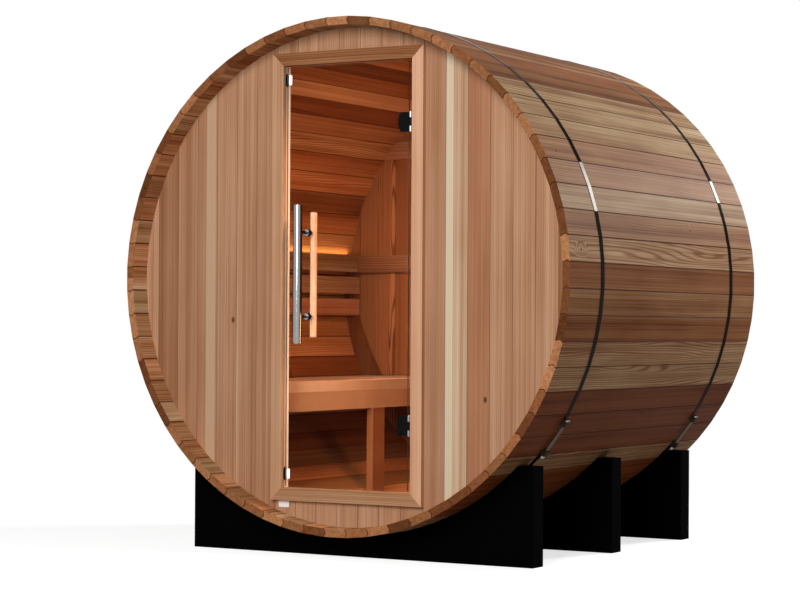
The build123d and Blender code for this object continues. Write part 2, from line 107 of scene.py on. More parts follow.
class Tree:
    """The node tree of a material or a world, with short calls for the nodes that it needs."""

    def __init__(self, owner):
        owner.use_nodes = True
        self.owner = owner
        self.tree = owner.node_tree
        self.tree.nodes.clear()

    def node(self, kind, **settings):
        made = self.tree.nodes.new(kind)
        for key, value in settings.items():
            setattr(made, key, value)
        return made

    def put(self, socket, value):
        """Link a socket to another one, or give it a value."""
        if isinstance(value, bpy.types.NodeSocket):
            self.tree.links.new(value, socket)
        else:
            socket.default_value = value

    def math(self, operation, *values):
        made = self.node("ShaderNodeMath", operation=operation)
        for socket, value in zip(made.inputs, values):
            self.put(socket, value)
        return made.outputs[0]

    def add(self, first, second):
        return self.math("ADD", first, second)

    def minus(self, first, second):
        return self.math("SUBTRACT", first, second)

    def times(self, first, *others):
        for other in others:
            first = self.math("MULTIPLY", first, other)
        return first

    def over(self, first, second):
        return self.math("DIVIDE", first, second)

    def length(self, first, second):
        """The length of a step with these two parts."""
        return self.math("SQRT", self.add(self.times(first, first), self.times(second, second)))

    def nearest(self, value):
        """The nearest whole number, and how far past it the value lies."""
        whole = self.math("FLOOR", self.add(value, 0.5))
        return whole, self.minus(value, whole)

    def vector(self, x, y, z):
        made = self.node("ShaderNodeCombineXYZ")
        for socket, value in zip(made.inputs, (x, y, z)):
            self.put(socket, value)
        return made.outputs[0]

    def parts(self, vector):
        """The three numbers in a vector or a colour."""
        made = self.node("ShaderNodeSeparateXYZ")
        self.put(made.inputs[0], vector)
        return made.outputs[0], made.outputs[1], made.outputs[2]

    def place(self):
        """The three coordinates in the object's own space, which at rest is the row frame."""
        return self.parts(self.node("ShaderNodeTexCoord").outputs["Object"])

    def normal(self):
        return self.parts(self.node("ShaderNodeTexCoord").outputs["Normal"])

    def facing(self, axis, low=0.8, high=0.9):
        """1 where the surface faces along an axis, given as 0, 1 or 2, and 0 where it doesn't."""
        return self.smooth(self.math("ABSOLUTE", self.normal()[axis]), low, high)

    def noise(self, place, detail, roughness):
        made = self.node("ShaderNodeTexNoise")
        self.put(made.inputs["Vector"], place)
        made.inputs["Scale"].default_value = 1.0
        made.inputs["Detail"].default_value = detail
        made.inputs["Roughness"].default_value = roughness
        return made.outputs[0]

    def speckle(self, scales, kind=SOFT):
        """Noise with so many cycles per metre along X, Y and Z."""
        place = [self.times(value, scale) for value, scale in zip(self.place(), scales)]
        return self.noise(self.vector(*place), *kind)

    def random(self, value, seed):
        """A random number from 0 to 1 that is the same for the same value."""
        made = self.node("ShaderNodeTexWhiteNoise", noise_dimensions="2D")
        self.put(made.inputs["Vector"], self.vector(value, seed, 0.0))
        return made.outputs["Value"]

    def vary(self, value, seed, middle, spread):
        """A random number in a span round the middle that is the same for the same value."""
        return self.add(middle, self.times(self.minus(self.random(value, seed), 0.5), spread))

    def smooth(self, value, low, high):
        """0 below low, 1 above high and a smooth step between them, or the reverse."""
        made = self.node("ShaderNodeMapRange", interpolation_type="SMOOTHSTEP")
        self.put(made.inputs["Value"], value)
        made.inputs["From Min"].default_value = low
        made.inputs["From Max"].default_value = high
        return made.outputs["Result"]

    def wave(self, turns, low, high):
        """Soft stripes, one for each turn."""
        return self.smooth(self.math("SINE", self.times(turns, 2 * pi)), low, high)

    def ramp(self, value, stops, interpolation="LINEAR"):
        made = self.node("ShaderNodeValToRGB")
        made.color_ramp.interpolation = interpolation
        elements = made.color_ramp.elements
        elements.remove(elements[1])
        elements[0].position, elements[0].color = stops[0]
        for place, colour in stops[1:]:
            elements.new(place).color = colour
        self.put(made.inputs[0], value)
        return made.outputs[0]

    def mix(self, share, first, second, blend="MIX"):
        made = self.node("ShaderNodeMix", data_type="RGBA", blend_type=blend)
        self.put(made.inputs[0], share)
        self.put(made.inputs[6], first)
        self.put(made.inputs[7], second)
        return made.outputs[2]

    def product(self, first, *others):
        """Colours times each other."""
        for other in others:
            first = self.mix(1.0, first, other, "MULTIPLY")
        return first

    def bump(self, height, distance, strength):
        made = self.node("ShaderNodeBump")
        made.inputs["Distance"].default_value = distance
        made.inputs["Strength"].default_value = strength
        self.put(made.inputs["Height"], height)
        return made.outputs["Normal"]

    def shader(self, kind, **inputs):
        """A shader node with its inputs. Names use _ for a space."""
        made = self.node(kind)
        for key, value in inputs.items():
            self.put(made.inputs[key.replace("_", " ")], value)
        return made.outputs[0]

    def mix_shaders(self, share, first, second):
        made = self.node("ShaderNodeMixShader")
        for socket, value in zip(made.inputs, (share, first, second)):
            self.put(socket, value)
        return made.outputs[0]

    def finish(self, shader, kind="ShaderNodeOutputMaterial"):
        """Make a shader the output, and give the finished material or world."""
        self.put(self.node(kind).inputs["Surface"], shader)
        return self.owner

    def surface(self, **inputs):
        """A Principled shader as the output."""
        return self.finish(self.shader("ShaderNodeBsdfPrincipled", **inputs))


def new_material(name):
    return Tree(bpy.data.materials.new(name))


# Where a point lies in its board: along the grain, across it, its depth in the board, the board's number,
# how far it is from a joint, and whether it is end grain or faces the room
def stave_layout(t):
    """Staves lie along Y, and each one's edge follows its bead."""
    x, y, z = t.place()
    height = t.minus(z, AXIS_Z)
    radius = t.length(x, height)
    from_bead = t.over(t.minus(radius, BEAD_RADIUS), BEAD_WIDTH / 2)
    round_part = t.math("MAXIMUM", t.minus(1.0, t.times(from_bead, from_bead)), 0.0)
    swell = t.times(t.math("SQRT", round_part), BEAD_DEPTH / OUTER_FLAT)
    angle = t.minus(t.math("ARCTAN2", height, x), swell)
    board, off = t.nearest(t.over(angle, STAVE_PITCH))
    between_walls = t.math("LESS_THAN", t.math("ABSOLUTE", y), ROOM_HALF_LENGTH)
    inner_face = t.smooth(radius, INNER_FLAT + INSIDE_FADE_END, INNER_FLAT + INSIDE_FADE_START)
    return {
        "along": y,
        "across": t.times(off, STAVE_PITCH, radius),
        "depth": t.minus(radius, INNER_FLAT),
        "board": board,
        "edge": t.times(t.minus(0.5, t.math("ABSOLUTE", off)), STAVE_PITCH * OUTER_FLAT),
        "end": t.facing(1),
        "inside": t.times(between_walls, inner_face),
    }


def upright_layout(t):
    """Wall boards stand along Z, one every board pitch, with one centred on the doorway."""
    x, y, z = t.place()
    board, off = t.nearest(t.over(x, BOARD_PITCH))
    return {
        "along": z,
        "across": t.times(off, BOARD_PITCH),
        "depth": y,
        "board": board,
        "edge": t.times(t.minus(0.5, t.math("ABSOLUTE", off)), BOARD_PITCH),
        "end": t.facing(2),
        "inside": t.math("LESS_THAN", t.math("ABSOLUTE", y), WALL_INNER_LIMIT),
    }


OBJECT_STEP = 97.0


def single_layout(direction, pitch=0.0, start=0.0):
    """One board along X, Y or Z, or several side by side with a pitch, each with its own tone."""

    def layout(t):
        x, y, z = t.place()
        board = t.times(t.node("ShaderNodeObjectInfo").outputs["Random"], OBJECT_STEP)
        along, across, depth, end_axis = {
            "x": (x, z, y, 0),
            "y": (y, x, z, 1),
            "yz": (y, z, x, 1),
            "z": (z, x, y, 2),
        }[direction]
        if pitch:
            board = t.add(board, t.math("FLOOR", t.over(t.minus(across, start), pitch)))
        return {
            "along": along,
            "across": across,
            "depth": depth,
            "board": board,
            "edge": None,
            "end": t.facing(end_axis),
            "inside": None,
        }

    return layout


# What is added to a wood's seed for each of a board's random numbers
RED_SEED = 1.0
ROOM_SEED = 4.0
SHIFT_SEED = 5.5
HEART_ACROSS_SEED = 6.0
HEART_DEPTH_SEED = 7.0
END_SEED = 8.0
WILD_SEED = 9.0

RED_SPREAD = 0.7
HIGHEST_LIGHTNESS = 2.0
SAME_BOARD = 0.4


def board_looks(t, board, seed, light, spread, red, table, default):
    """Lightness, redness and wildness of grain: from a table for known boards, else at random."""
    lightness = t.vary(board, seed, light, spread)
    redness = t.vary(board, seed + RED_SEED, red, RED_SPREAD)
    wildness = t.math("POWER", t.random(board, seed + WILD_SEED), 2.0)
    if not table:
        return lightness, redness, wildness
    first = min(table)
    count = max(table) - first + 1
    stops = []
    for number in range(first, first + count):
        known_light, known_red, known_wild = table.get(number, default)
        stops.append(((number - first) / count, (known_light / HIGHEST_LIGHTNESS, known_red, known_wild, 1)))
    place = t.over(t.add(t.minus(board, float(first)), 0.5), float(count))
    known_light, known_red, known_wild = t.parts(t.ramp(place, stops, "CONSTANT"))
    known = (t.times(known_light, HIGHEST_LIGHTNESS), known_red, known_wild)
    is_known = t.math("COMPARE", board, first + (count - 1) / 2, count / 2)
    chosen = []
    for random_value, known_value in zip((lightness, redness, wildness), known):
        chosen.append(t.add(random_value, t.times(t.minus(known_value, random_value), is_known)))
    return chosen


def deepen(t, shade, depth):
    """A shade as a colour that turns redder as it darkens, as cedar does: green and blue fall off faster."""
    return t.vector(shade, t.math("POWER", shade, depth[0]), t.math("POWER", shade, depth[1]))


# Noise drawn out along a board: cycles per metre along and across it, detail and roughness
FIGURE = (0.9, 13.0, 1.5, 0.4)
BANDS = (0.3, 30.0, 1.0, 0.5)
STREAKS = (0.5, 95.0, 2.0, 0.5)
FINE_STREAKS = (1.4, 300.0, 1.0, 0.5)
PATCHES = (2.2, 9.0, 2.0, 0.5)
FIBRES = (11.0, 850.0, 2.0, 0.6)

# How much each kind of noise moves the tone, and how much calmer it is on faces inside the room
TONE_AMOUNTS = ((BANDS, 0.4), (STREAKS, 0.4), (FINE_STREAKS, 0.25), (PATCHES, 0.3))
FIBRE_AMOUNT = 0.1
INSIDE_CALM = 0.3

# Growth rings: how many there are, how far the slow field and a knot bend them, and how dark they are
RINGS_PER_METRE = 125.0
CALM_BEND = 2.0
WILD_BEND = 13.0
KNOT_BEND = 2.5
CALM_RINGS = 0.05
WILD_RINGS = 0.36

# Knots: how they stretch along the grain, their solid core and the reach of the swirl, in their own size
KNOT_STRETCH = 0.6
KNOT_CORE = 0.4
SWIRL_REACH = 6
KNOT_COVER = 0.85
SAPWOOD_COVER = 0.85

# End grain: rings round a heart that lies somewhere near the board, blotches, and how light it is
END_RINGS_PER_METRE = 190.0
END_BLOTCHES_PER_METRE = 70.0
BLOTCH_BEND = 1.6
HEART_ACROSS = (0.0, 0.08)
HEART_DEPTH = (-0.01, 0.1)
END_LIGHT = (0.95, 1.1)
END_DEPTH = (1.2, 1.4)
END_LIGHTNESS_LIMITS = (0.75, 1.05)
END_RING_LIGHT = 1.15
END_RING_DEPTH = 0.45
END_BLOTCH_DARK = 0.4
END_BLOTCH_DEPTH = 1.2
END_TINT_FADE = 0.7

# Painted shade and a warm painted glow on faces inside the room, a random amount on each board; joints; and
# how far apart the noise of two boards lies
PAINTED_ROOM_SHADE = (0.875, 0.75)
PAINTED_ROOM_SHADE_DEPTH = (1.4, 1.8)
JOINT_COVER = 0.95
JOINT_CORE = 0.3
BOARD_STEP = 3.7
LONGEST_SHIFT = 53.0

# Gloss and relief of planed wood
WOOD_ROUGHNESS = 0.46
FIBRE_ROUGHNESS = 0.2
FIBRE_HEIGHT = 0.6
RING_HEIGHT = 0.4
GRAIN_RELIEF = (0.0004, 0.6)


def drawn_noise(t, at, kind):
    """Noise drawn out along the board, different on each one."""
    along_scale, across_scale, detail, roughness = kind
    place = t.vector(t.times(at["shifted"], along_scale), t.times(at["across"], across_scale), at["own"])
    return t.noise(place, detail, roughness)


def knots_on(t, at, knots):
    """Knots at known places, and the swirl of the grain round them, both from 0 to 1."""
    knot = 0.0
    swirl = 0.0
    for number, along_at, across_at, size in knots:
        here = t.math("COMPARE", at["board"], float(number), SAME_BOARD)
        along = t.times(t.minus(at["along"], along_at), KNOT_STRETCH)
        distance = t.length(along, t.minus(at["across"], across_at))
        knot = t.math("MAXIMUM", knot, t.times(here, t.smooth(distance, size, size * KNOT_CORE)))
        swirl = t.math("MAXIMUM", swirl, t.times(here, t.smooth(distance, size * SWIRL_REACH, 0.0)))
    return knot, swirl


def growth_rings(t, at, wildness, swirl):
    """Straight lines along the board, bent by a slow field and round knots."""
    bend = t.times(drawn_noise(t, at, FIGURE), t.add(t.times(wildness, WILD_BEND), CALM_BEND))
    bend = t.add(bend, t.times(swirl, KNOT_BEND))
    return t.wave(t.add(t.times(at["across"], RINGS_PER_METRE), bend), 0.0, 1.0)


def board_tone(t, at, fibre, contrast):
    """Where a point lies on the ramp of cedar tones."""
    tone = t.times(t.minus(fibre, 0.5), FIBRE_AMOUNT)
    for kind, amount in TONE_AMOUNTS:
        tone = t.add(tone, t.times(t.minus(drawn_noise(t, at, kind), 0.5), amount))
    if at["inside"] is not None:
        contrast = t.add(t.times(at["inside"], -INSIDE_CALM * contrast), contrast)
    return t.add(t.times(tone, contrast), 0.5)


def end_grain(t, at, seed, lightness, tint):
    """End grain is darker and redder, with growth rings that curve through the thickness."""
    board, across, depth = at["board"], at["across"], at["depth"]
    heart_across = t.vary(board, seed + HEART_ACROSS_SEED, *HEART_ACROSS)
    heart_depth = t.vary(board, seed + HEART_DEPTH_SEED, *HEART_DEPTH)
    from_heart = t.length(t.minus(depth, heart_depth), t.minus(across, heart_across))
    blotch_across = t.times(across, END_BLOTCHES_PER_METRE)
    blotch_depth = t.times(depth, END_BLOTCHES_PER_METRE)
    blotch = t.noise(t.vector(blotch_across, blotch_depth, at["own"]), *CRISP)
    rings = t.wave(t.add(t.times(from_heart, END_RINGS_PER_METRE), t.times(blotch, BLOTCH_BEND)), -0.2, 0.9)
    lowest, highest = END_LIGHTNESS_LIMITS
    light = t.vary(board, seed + END_SEED, *END_LIGHT)
    light = t.times(light, t.math("MINIMUM", t.math("MAXIMUM", lightness, lowest), highest))
    ring_shade = t.minus(END_RING_LIGHT, t.times(rings, END_RING_DEPTH))
    blotch_shade = t.add(END_BLOTCH_DARK, t.times(blotch, END_BLOTCH_DEPTH))
    light = t.times(light, ring_shade, blotch_shade)
    return t.product(END_SHADE, t.mix(END_TINT_FADE, tint, NO_TINT), deepen(t, light, END_DEPTH))


def wood(
    name,
    layout,
    seed,
    spread,
    light=1.0,
    red=0.5,
    wild=1.0,
    table=None,
    default=None,
    joint=0.0,
    knots=(),
    sapwood=(),
    depth=(1.3, 1.7),
    contrast=1.3,
    warmth=1.0,
):
    """Bare planed cedar: a tone for each board, streaks, growth rings, fibres, knots and end grain, with
    painted shade and a warm painted glow on faces inside the room.
    """
    t = new_material(name)
    at = layout(t)
    board = at["board"]
    at["shifted"] = t.add(at["along"], t.times(t.random(board, seed + SHIFT_SEED), LONGEST_SHIFT))
    at["own"] = t.times(board, BOARD_STEP)
    lightness, redness, wildness = board_looks(t, board, seed, light, spread, red, table, default)
    wildness = t.times(wildness, wild)
    knot, swirl = knots_on(t, at, knots)
    rings = growth_rings(t, at, wildness, swirl)
    fibre = drawn_noise(t, at, FIBRES)

    colour = t.ramp(board_tone(t, at, fibre, contrast), CEDAR_TONES)
    for number, from_across, to_across in sapwood:
        here = t.math("COMPARE", board, float(number), SAME_BOARD)
        middle, half_width = (from_across + to_across) / 2, (to_across - from_across) / 2
        within = t.math("COMPARE", at["across"], middle, half_width)
        colour = t.mix(t.times(here, within, SAPWOOD_COVER), colour, CREAM)
    ring_depth = t.add(CALM_RINGS * contrast, t.times(wildness, WILD_RINGS))
    shade = t.times(t.minus(1.0, t.times(rings, ring_depth)), lightness)
    tint = t.product(t.mix(redness, TAN_TINT, RED_TINT), (1.0, 1.0, warmth, 1.0))
    colour = t.product(colour, deepen(t, shade, depth), tint)
    # Faces inside the room turn darker and warmer: painted shade and a warm painted glow, a random amount on
    # each board
    if at["inside"] is not None:
        room_light = t.vary(board, seed + ROOM_SEED, *PAINTED_ROOM_SHADE)
        painted_room_colour = t.product(colour, deepen(t, room_light, PAINTED_ROOM_SHADE_DEPTH), PAINTED_ROOM_GLOW_TINT)
        colour = t.mix(at["inside"], colour, painted_room_colour)
    if knots:
        colour = t.mix(t.times(knot, KNOT_COVER), colour, KNOT_SHADE)
    colour = t.mix(at["end"], colour, end_grain(t, at, seed, lightness, tint))
    if joint:
        seam = t.smooth(at["edge"], joint, joint * JOINT_CORE)
        colour = t.mix(t.times(seam, JOINT_COVER), colour, JOINT_SHADE)
    height = t.add(t.times(fibre, FIBRE_HEIGHT), t.times(rings, RING_HEIGHT))
    return t.surface(
        Base_Color=colour,
        Roughness=t.add(WOOD_ROUGHNESS, t.times(fibre, FIBRE_ROUGHNESS)),
        Specular_IOR_Level=0.02,
        Normal=t.bump(height, *GRAIN_RELIEF),
    )


def one_board(name, direction, **looks):
    """Wood for boards that each lie along X, Y or Z."""
    return wood(name, single_layout(direction), **looks)


# Looks of a board: lightness, redness, and wildness of grain
DARK = (0.42, 0.95, 0.2)
RED = (0.66, 0.75, 0.15)
DUSKY = (0.6, 0.45, 0.35)
BROWN = (0.86, 0.55, 0.2)
TAN = (1.15, 0.3, 0.2)
FIGURED = (1.2, 0.5, 0.9)
PALE = (1.3, 0.25, 0.6)
WALL_DARK = (0.7, 0.5, 0.3)
WALL_BROWN = (0.88, 0.45, 0.1)
WALL_ROSY = (0.82, 0.65, 0.1)
WALL_TAN = (0.96, 0.42, 0.15)
WALL_PALE = (1.2, 0.15, 0.1)
REAR_FIGURED = (0.75, 0.75, 1.0)
REAR_TAN = (0.92, 0.45, 0.3)


def by_board(*groups):
    """The look of each board, from groups of one look and the boards that have it."""
    return {number: look for look, numbers in groups for number in numbers}


# Staves are counted from the right side of the barrel upward, wall boards from the middle of the doorway to
# the right. Boards between the first and the last that aren't named have the wood's default look, and boards
# beyond them a random one.
STAVE_LOOKS = by_board(
    # The lowest staves on the right take the darkest look: partly their own tone, partly painted shade on the
    # underside of the barrel
    (DARK, (-11, -10, -9, -7, -6, -5)),
    (RED, (-2, 0, 10)),
    (DUSKY, (9, 12, 13)),
    (TAN, (3, 6)),
    (FIGURED, (-8, -4, -3, 1)),
    (PALE, (7, 8)),
)
BOARD_LOOKS = by_board(
    (WALL_DARK, (-9, 10)),
    (WALL_BROWN, (-8, -7, -4, 4)),
    (WALL_ROSY, (6,)),
    (WALL_TAN, (-10,)),
    (WALL_PALE, (5,)),
)
REAR_LOOKS = by_board((REAR_TAN, (-9,)), (REAR_FIGURED, (-8,)), (RED, (-7, -6)))

# Knots as board, place along it, place across it and size, and sapwood as board and its two edges across it
STAVE_KNOTS = (
    (1, -0.725, -0.002, 0.006),
    (5, -0.72, -0.012, 0.006),
    (-6, 0.07, 0.026, 0.009),
    (2, 0.225, 0.008, 0.006),
)
BOARD_KNOTS = ((6, 0.572, 0.028, 0.009), (-6, 0.842, 0.03, 0.009))
SAPWOOD = ((5, -0.044, -0.014), (-7, -0.004, 0.037))

# The seat's slats are counted back from the front edge, the backrest's down from the top
SEAT_SLATS = single_layout("y", pitch=0.094, start=-0.31)
BACKREST_SLATS = single_layout("yz", pitch=0.092, start=1.123)

cedar_staves = wood(
    "cedar_staves",
    stave_layout,
    spread=0.5,
    seed=3.0,
    table=STAVE_LOOKS,
    default=BROWN,
    joint=0.0032,
    knots=STAVE_KNOTS,
    depth=(1.5, 2.0),
    contrast=2.0,
    warmth=0.88,
)
cedar_walls = wood(
    "cedar_walls",
    upright_layout,
    spread=0.4,
    seed=1.0,
    table=BOARD_LOOKS,
    default=WALL_TAN,
    joint=0.0008,
    knots=BOARD_KNOTS,
    sapwood=SAPWOOD,
    depth=(1.25, 1.5),
    contrast=0.95,
    warmth=1.05,
)
cedar_rear = wood(
    "cedar_rear",
    upright_layout,
    light=0.9,
    spread=0.6,
    red=0.6,
    wild=1.4,
    seed=22.0,
    table=REAR_LOOKS,
    default=BROWN,
    joint=0.0012,
)
cedar_left_casing = one_board(
    "cedar_left_casing", "z", light=1.06, spread=0.0, red=0.75, wild=0.2, seed=11.0, contrast=0.9
)
cedar_right_casing = one_board(
    "cedar_right_casing", "z", light=1.3, spread=0.0, red=0.6, wild=0.2, seed=21.0, contrast=0.9
)
cedar_level = one_board("cedar_level", "x", light=0.9, spread=0.1, red=0.6, wild=0.4, seed=12.0)
cedar_head = one_board("cedar_head", "x", light=0.62, spread=0.05, red=0.5, seed=19.0)
# The jambs take the lightest look: partly the pale tone of their wood, partly painted light on their faces
# beside the doorway
cedar_jamb = one_board("cedar_jamb", "z", light=1.9, spread=0.0, red=0.4, wild=0.1, seed=13.0, contrast=0.4)
cedar_bench = wood("cedar_bench", SEAT_SLATS, light=1.4, spread=0.3, red=0.6, seed=14.0)
cedar_back = wood("cedar_back", BACKREST_SLATS, light=0.82, spread=0.3, red=0.6, wild=1.6, seed=15.0)
cedar_apron = one_board("cedar_apron", "y", light=0.68, spread=0.0, red=0.45, seed=23.0)
cedar_rail = one_board("cedar_rail", "x", light=0.6, spread=0.1, red=1.1, wild=1.5, seed=16.0)
# The leg and the ribs are far darker than the other wood inside: painted shade under the bench, which the
# ribs carry too
cedar_post = one_board("cedar_post", "z", light=0.3, spread=0.1, red=1.0, seed=17.0)
pale_wood = one_board("pale_wood", "z", light=1.25, spread=0.02, red=0.3, wild=0.1, seed=18.0)


# How much the marks on metal and the flecks in a coat show, and their relief as a distance and a strength
MARK_DEPTH = 0.2
FLECK_ROUGHNESS = 0.15
SCRATCH_RELIEF = (0.0001, 0.1)
FLECK_RELIEF = (0.0004, 0.5)


def metal(name, colour, roughness, scratch, scales, edge):
    """Metal with fine scratches that vary its gloss, and a darker or lighter glance at its edges."""
    t = new_material(name)
    marks = t.speckle(scales, CRISP)
    shade = t.add(1.0 - MARK_DEPTH / 2, t.times(marks, MARK_DEPTH))
    return t.surface(
        Base_Color=t.product(colour, t.vector(shade, shade, shade)),
        Metallic=1.0,
        Specular_Tint=(edge, edge, edge, 1),
        Roughness=t.add(roughness, t.times(t.minus(marks, 0.5), scratch)),
        Normal=t.bump(marks, *SCRATCH_RELIEF),
    )


polished_steel = metal(
    "polished_steel", (0.3, 0.3, 0.3, 1), roughness=0.1, scratch=0.04, scales=(900.0, 900.0, 12.0), edge=0.12
)
hoop_steel = metal(
    "hoop_steel", (0.03, 0.029, 0.028, 1), roughness=0.12, scratch=0.05, scales=(40.0, 900.0, 40.0), edge=0.41
)
lug_steel = metal(
    "lug_steel", (0.085, 0.07, 0.055, 1), roughness=0.3, scratch=0.15, scales=(300.0, 300.0, 300.0), edge=0.3
)


def coated(name, colour, roughness, unevenness, scales, gloss):
    """Paint or plastic, with a fine unevenness in shade, gloss and height."""
    t = new_material(name)
    fleck = t.speckle(scales, CRISP)
    shade = t.add(1.0 - unevenness / 2, t.times(fleck, unevenness))
    return t.surface(
        Base_Color=t.product(colour, t.vector(shade, shade, shade)),
        Roughness=t.add(roughness, t.times(t.minus(fleck, 0.5), FLECK_ROUGHNESS)),
        Specular_IOR_Level=gloss,
        Normal=t.bump(fleck, *FLECK_RELIEF),
    )


black_wood = coated(
    "black_painted_wood",
    (0.0012, 0.0012, 0.0012, 1),
    roughness=0.7,
    unevenness=0.7,
    scales=(8.0, 300.0, 300.0),
    gloss=0.003,
)
black_hardware = coated(
    "black_hardware",
    (0.005, 0.005, 0.005, 1),
    roughness=0.3,
    unevenness=0.3,
    scales=(500.0, 500.0, 500.0),
    gloss=0.03,
)
white_plastic = coated(
    "white_plastic",
    (0.86, 0.83, 0.82, 1),
    roughness=0.4,
    unevenness=0.05,
    scales=(700.0, 700.0, 700.0),
    gloss=0.3,
)


def clear_glass():
    """Clear toughened glass with dark ground edges: light for shadows passes straight through it."""
    t = new_material("clear_glass")
    glass = t.shader(
        "ShaderNodeBsdfPrincipled",
        Base_Color=(0.97, 0.985, 0.98, 1),
        Transmission_Weight=1.0,
        IOR=1.07,
        Roughness=t.times(t.speckle((6.0, 0.0, 3.0)), 0.006),
    )
    rim = t.shader(
        "ShaderNodeBsdfPrincipled",
        Base_Color=(0.12, 0.09, 0.07, 1),
        Roughness=0.4,
        Specular_IOR_Level=0.05,
    )
    clear = t.shader("ShaderNodeBsdfTransparent", Color=(0.96, 0.97, 0.965, 1))
    pane = t.mix_shaders(t.facing(1, 0.2, 0.6), rim, glass)
    return t.finish(t.mix_shaders(t.node("ShaderNodeLightPath").outputs["Is Shadow Ray"], pane, clear))


STRIP_GLOW = (1.0, 0.62, 0.3)
ROOM_GLOW = (1.0, 0.62, 0.34)
LOW_GLOW = (1.0, 0.6, 0.3)
DIODE_PITCH = 0.0167


def warm_light():
    """The lit diffuser of the light strip, with a brighter spot for each of its diodes."""
    t = new_material("warm_light")
    spots = t.math("SINE", t.times(t.place()[1], 2 * pi / DIODE_PITCH))
    glow = t.add(1.0, t.times(spots, 0.15))
    return t.surface(
        Base_Color=(0.9, 0.75, 0.5, 1),
        Roughness=0.5,
        Emission_Color=t.product((*STRIP_GLOW, 1), t.vector(glow, glow, glow)),
        Emission_Strength=2.5,
    )


def finish_nodes(material, slot, *names):
    """Give CAD nodes their material. The slot, the record's name for it, is not used."""
    for name in names:
        nodes[name].data.materials.clear()
        nodes[name].data.materials.append(material)


stave_nodes = [name for name in nodes if name.startswith("staves_")]
finish_nodes(cedar_staves, "cedar_staves", *stave_nodes)
finish_nodes(cedar_left_casing, "cedar_trim", "casing_left")
finish_nodes(cedar_right_casing, "cedar_trim", "casing_right")
finish_nodes(cedar_level, "cedar_trim", "casing_bottom", "jamb_head", "door_sill")
finish_nodes(cedar_head, "cedar_trim", "casing_top")
finish_nodes(cedar_jamb, "cedar_trim", "jamb_left", "jamb_right")
finish_nodes(clear_glass(), "clear_glass", "door_glass")
finish_nodes(black_hardware, "black_hardware", "door_hinge_clamp_upper", "door_hinge_clamp_lower")
finish_nodes(black_hardware, "black_hardware", "jamb_catch_upper", "jamb_catch_lower")
finish_nodes(polished_steel, "polished_steel", "jamb_hinge_leaf_upper", "jamb_hinge_leaf_lower")
finish_nodes(polished_steel, "polished_steel", "door_pull_bar", "door_handle_posts")
finish_nodes(pale_wood, "pale_wood", "door_inner_grip")
finish_nodes(white_plastic, "white_plastic", "door_strike_plates")
finish_nodes(hoop_steel, "hoop_steel", "hoop_front", "hoop_rear")
finish_nodes(lug_steel, "hoop_steel", "tensioner_front", "tensioner_rear")
finish_nodes(black_wood, "black_painted_wood", "cradle_front", "cradle_middle", "cradle_rear")
finish_nodes(cedar_bench, "cedar_inside", "bench_slats", "bench_bearers")
finish_nodes(cedar_back, "cedar_inside", "backrest_slats")
finish_nodes(cedar_apron, "cedar_inside", "bench_apron")
finish_nodes(cedar_post, "cedar_inside", "bench_leg", "backrest_ribs")
finish_nodes(cedar_rail, "cedar_inside", "rear_wall_rail_upper", "rear_wall_rail_middle")
finish_nodes(warm_light(), "warm_light", "light_strip")


# Pieces that the scene adds
def new_piece(name, mesh_data, material, body):
    """Turn finished bmesh data into an object that rides on a body."""
    bmesh.ops.recalc_face_normals(mesh_data, faces=mesh_data.faces)
    mesh = bpy.data.meshes.new(name)
    mesh_data.to_mesh(mesh)
    mesh_data.free()
    mesh.materials.append(material)
    made = bpy.data.objects.new(name, mesh)
    bpy.context.scene.collection.objects.link(made)
    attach(made, body)
    return made


def skin(mesh, rings):
    """Faces between one ring of points and the next, and a cap on each end."""
    count = len(rings[0])
    for first, second in zip(rings, rings[1:]):
        for side in range(count):
            after = (side + 1) % count
            mesh.faces.new((first[side], first[after], second[after], second[side]))
    mesh.faces.new(list(reversed(rings[0])))
    mesh.faces.new(rings[-1])


# End walls of upright boards
JOINT_GAP = 0.0004
BOARD_EASE = 0.0012
BOARD_COLUMN = 0.03
NARROWEST_BOARD = 0.006
DOORWAY_REACH = 0.5


def columns(left, right):
    """Places from left to right, close enough for the curve of the wall."""
    steps = max(1, int((right - left) / BOARD_COLUMN + 0.999))
    return [left + (right - left) * step / steps for step in range(steps + 1)]


def add_board(mesh, left, right, near_y, far_y, bottom, top, bevels):
    """One upright board with eased long edges, whose ends follow two curves."""
    profile = []
    if bevels[0]:
        profile.append((left, BOARD_EASE))
    inner_left = left + BOARD_EASE if bevels[0] else left
    inner_right = right - BOARD_EASE if bevels[1] else right
    profile += [(x, 0.0) for x in columns(inner_left, inner_right)]
    if bevels[1]:
        profile.append((right, BOARD_EASE))
    rings = []
    for x, set_back in profile:
        low, high = bottom(x), top(x)
        near, far = near_y + set_back, far_y - set_back
        corners = [(x, near, low), (x, near, high), (x, far, high), (x, far, low)]
        rings.append([mesh.verts.new(corner) for corner in corners])
    skin(mesh, rings)


